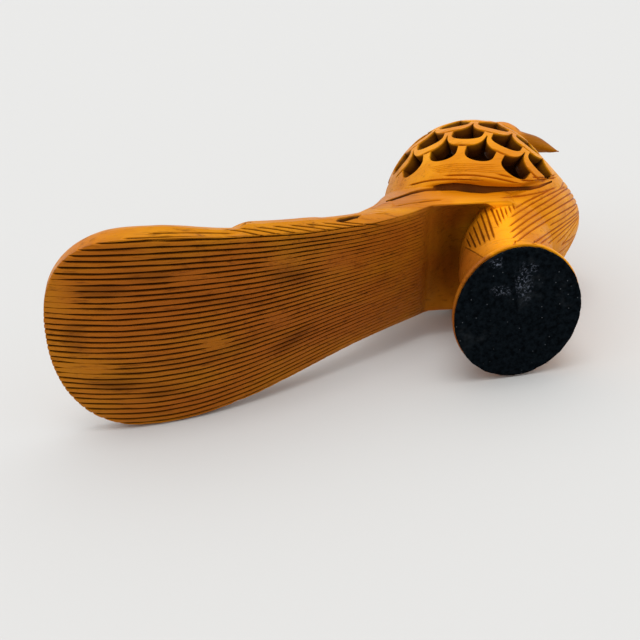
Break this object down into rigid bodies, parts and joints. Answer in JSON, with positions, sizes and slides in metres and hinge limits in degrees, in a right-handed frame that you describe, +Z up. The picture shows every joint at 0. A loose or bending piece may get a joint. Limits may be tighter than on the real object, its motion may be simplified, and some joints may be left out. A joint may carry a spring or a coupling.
{
  "type": "carved wooden peacock figurine",
  "caption": "Carved wooden peacock with a pierced lattice body and a long grooved paddle tail, standing on a round felt-covered foot.",
  "frame": {"origin": "middle of the felt pad's underside, on the surface that the bird stands on", "axes": "+X the way the bird faces, -Y the bird's right side, +Z up"},
  "size_m": [0.1689, 0.0586, 0.1354],
  "materials": {
    "wood": "hand-cut and waxed, satin, darker in the cuts",
    "felt": "short-piled black felt with lint"
  },
  "bodies": {
    "root": {"peacock": "wood", "felt_pad": "felt"}
  },
  "joints": []
}
